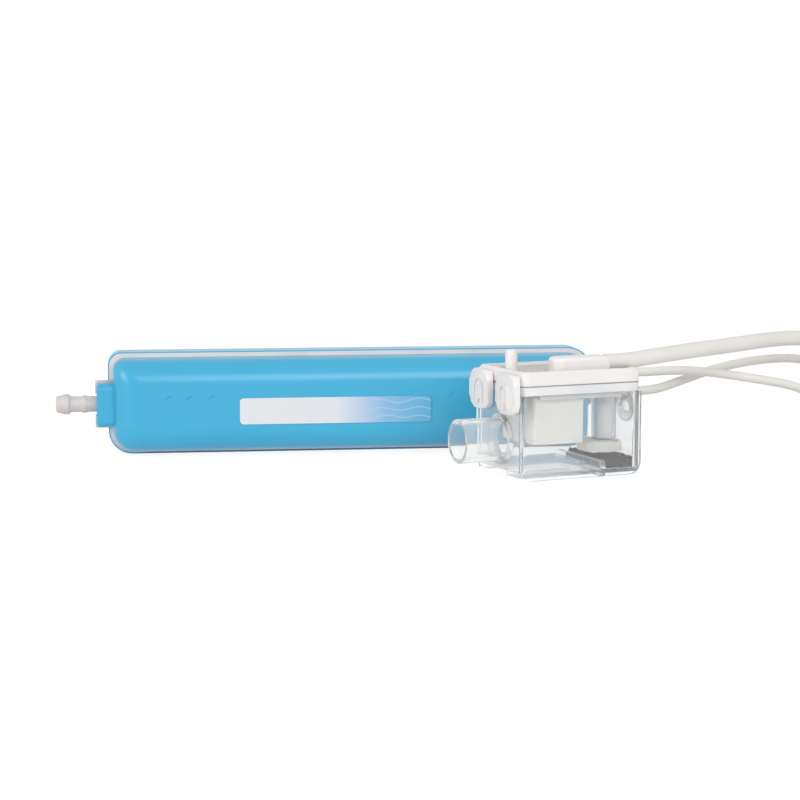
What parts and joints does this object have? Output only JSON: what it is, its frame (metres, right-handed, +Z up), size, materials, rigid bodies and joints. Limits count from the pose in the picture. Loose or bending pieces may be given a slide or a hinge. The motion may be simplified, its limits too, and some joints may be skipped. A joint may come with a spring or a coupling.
{
  "type": "condensate pump",
  "caption": "Mini condensate pump: pod-shaped solenoid pump beside a clear float reservoir with a lidded drain inlet, float, hose barbs and leads.",
  "frame": {"origin": "middle of the flat strip of the casing that the pump stands on, at floor level", "axes": "+X along the pump from outlet to inlet, +Y towards the mounting pad, +Z up"},
  "size_m": [0.3585, 0.1392, 0.0465],
  "materials": {
    "casing_blue": "glossy moulded ABS, sky blue",
    "seal_grey": "matt pale grey elastomer",
    "white_plastic": "smooth off-white moulded plastic",
    "label_film": "satin plate",
    "foam_pad": "closed-cell foam pad",
    "brass": "turned",
    "steel": "turned steel",
    "nylon": "natural nylon",
    "copper_winding": "enamelled copper wire under tape",
    "black_rubber": "soft rubber",
    "silicone": "translucent silicone",
    "board_green": "glass-fibre board",
    "component_black": "moulded case",
    "clear_plastic": "clear polycarbonate",
    "frosted_plastic": "translucent frosted seal",
    "lid_white": "satin white moulded plastic",
    "float_ivory": "closed-cell ivory float",
    "ferrite": "ferrite magnet",
    "filter_grey": "open-cell dark grey foam",
    "lead_ivory": "smooth PVC sheath"
  },
  "bodies": {
    "pump_and_tank": {"front_shell": "casing_blue", "rear_shell": "casing_blue", "seam_gasket": "seal_grey", "label_plate": "label_film", "mounting_pad": "foam_pad", "outlet_barb": "white_plastic", "inlet_barb": "white_plastic", "outlet_head": "nylon", "inlet_head": "nylon", "cylinder_sleeve": "brass", "outlet_spring": "steel", "inlet_spring": "steel", "coil_bobbin": "nylon", "coil_winding": "copper_winding", "yoke_frame": "steel", "outlet_rubber_ring": "black_rubber", "inlet_rubber_ring": "black_rubber", "inner_hose": "silicone", "control_board": "board_green", "capacitor": "component_black", "relay": "component_black", "alarm_gland": "seal_grey", "power_gland": "seal_grey", "tank": "clear_plastic", "inlet_spigot": "clear_plastic", "wall_plug": "clear_plastic", "filter_mat": "filter_grey", "alarm_lead": "lead_ivory", "alarm_lead_coil": "lead_ivory", "power_lead": "lead_ivory", "power_lead_coil": "lead_ivory"},
    "lid": {"lid": "lid_white", "rim_seal": "frosted_plastic", "sensor_head": "lid_white", "vent_tube": "lid_white", "guide_stem": "white_plastic", "pickup_tube": "silicone", "pickup_foot": "float_ivory", "sensor_lead": "lead_ivory", "sensor_lead_coil": "lead_ivory", "sensor_lead_tail": "lead_ivory", "sensor_plug": "white_plastic"},
    "clip_front": {"clip_front": "lid_white"},
    "clip_rear": {"clip_rear": "lid_white"},
    "float": {"float": "float_ivory", "float_magnet": "ferrite"},
    "piston": {"piston": "steel"},
    "outlet_ball": {"outlet_ball": "steel"},
    "inlet_ball": {"inlet_ball": "steel"}
  },
  "joints": [
    {"name": "lid_lift", "type": "slide", "parent": "pump_and_tank", "child": "lid", "axis": [0, 0, 1], "range_m": [0, 0.035]},
    {"name": "clip_front_flex", "type": "hinge", "parent": "lid", "child": "clip_front", "pos_m": [0.04816, -0.08457, 0.0377], "axis": [-0.2934, 0.956, 0], "range_deg": [0, 8], "stiffness_Nm_per_rad": 0.002},
    {"name": "clip_rear_flex", "type": "hinge", "parent": "lid", "child": "clip_rear", "pos_m": [0.04199, -0.0645, 0.0377], "axis": [-0.2934, 0.956, 0], "range_deg": [0, 8], "stiffness_Nm_per_rad": 0.002},
    {"name": "float_rise", "type": "slide", "parent": "lid", "child": "float", "axis": [0, 0, 1], "range_m": [0, 0.004]},
    {"name": "piston_stroke", "type": "slide", "parent": "pump_and_tank", "child": "piston", "axis": [1, 0, 0], "range_m": [-0.0015, 0.0015], "stiffness_N_per_m": 300, "deforming": ["outlet_spring", "inlet_spring"]},
    {"name": "outlet_valve_lift", "type": "slide", "parent": "pump_and_tank", "child": "outlet_ball", "axis": [-1, 0, 0], "range_m": [0, 0.001]},
    {"name": "inlet_valve_lift", "type": "slide", "parent": "pump_and_tank", "child": "inlet_ball", "axis": [-1, 0, 0], "range_m": [0, 0.001]}
  ]
}
